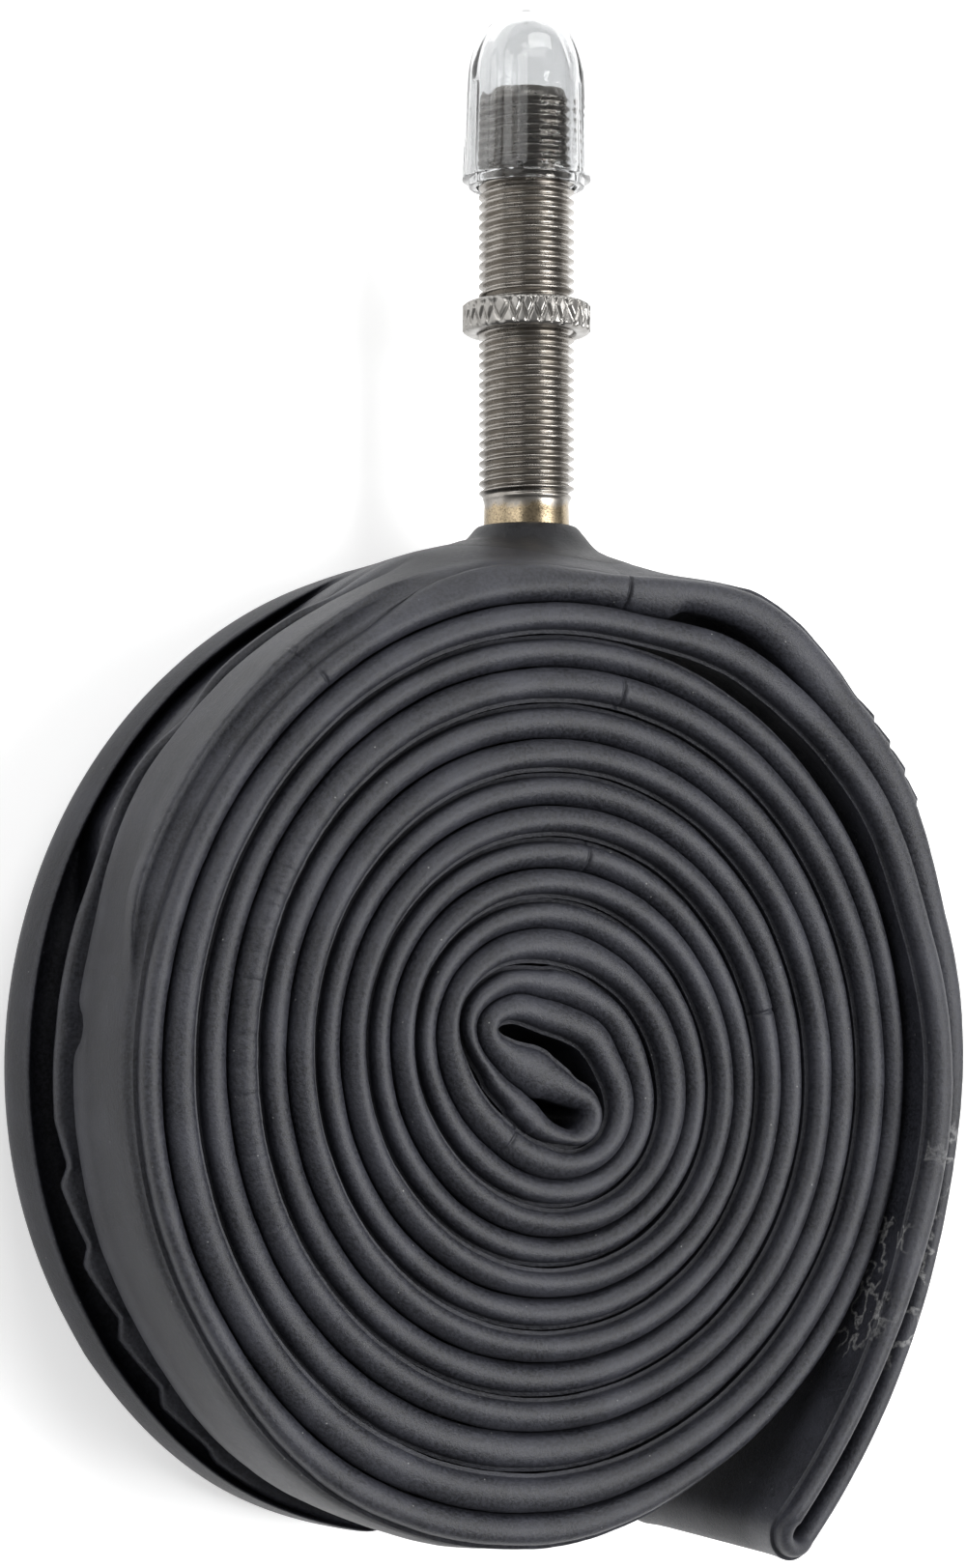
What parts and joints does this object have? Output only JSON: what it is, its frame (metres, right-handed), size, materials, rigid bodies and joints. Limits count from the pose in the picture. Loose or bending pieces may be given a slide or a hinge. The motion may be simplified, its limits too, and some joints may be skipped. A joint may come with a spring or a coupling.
{
  "type": "bicycle inner tube, rolled up",
  "caption": "Rolled-up flattened rubber bicycle inner tube with a threaded car-type valve, round nut and clear cap.",
  "frame": {"origin": "centre of the bounding box in X and Y, at the rear end face of the roll, which it rests on", "axes": "+Z is the axis of the roll and points out of its front end face, +Y is the direction that the valve stands out of the roll, +X completes a right-handed frame"},
  "size_m": [0.0744, 0.124, 0.029],
  "materials": {
    "tube_rubber": "satin, fine moulded grain, dusty",
    "valve_base_rubber": "matt moulded rubber",
    "nickelled_brass": "nickel plated, bare brass showing at the neck",
    "nut_nickel": "bright nickel plate, knurled",
    "clear_plastic": "clear, glossy",
    "core_brass": "turned",
    "pin_brass": "turned",
    "spring_steel": "bright wire",
    "gasket_red": "smooth seal",
    "seal_rubber": "smooth seal"
  },
  "bodies": {
    "tube": {"tube_body": "tube_rubber", "valve_base_patch": "valve_base_rubber", "valve_stem": "nickelled_brass"},
    "nut": {"rim_nut": "nut_nickel"},
    "cap": {"valve_cap": "clear_plastic"},
    "core": {"core_barrel": "core_brass", "barrel_gasket": "gasket_red", "pin_spring": "spring_steel"},
    "plug": {"core_plug": "core_brass"},
    "pin": {"valve_pin": "pin_brass", "seal_cup": "core_brass", "cup_seal": "seal_rubber"}
  },
  "joints": [
    {"name": "rim_nut_travel", "type": "slide", "parent": "tube", "child": "nut", "axis": [0, 1, 0], "range_m": [-0.013, 0.008]},
    {"name": "cap_lift", "type": "slide", "parent": "tube", "child": "cap", "axis": [0, 1, 0], "range_m": [0, 0.02]},
    {"name": "core_lift", "type": "slide", "parent": "tube", "child": "core", "axis": [0, 1, 0], "range_m": [0, 0.005]},
    {"name": "core_plug_turn", "type": "hinge", "parent": "core", "child": "plug", "pos_m": [0.00368, 0.05176, 0.013], "axis": [0, 1, 0], "range_deg": [0, 2560]},
    {"name": "pin_press", "type": "slide", "parent": "core", "child": "pin", "axis": [0, -1, 0], "range_m": [0, 0.0015], "stiffness_N_per_m": 400, "springref_m": -0.002, "deforming": ["pin_spring"]}
  ],
  "couplings": [
    {"joint": "core_plug_turn", "follows": "core_lift", "rad_per_m": 8912.4}
  ]
}
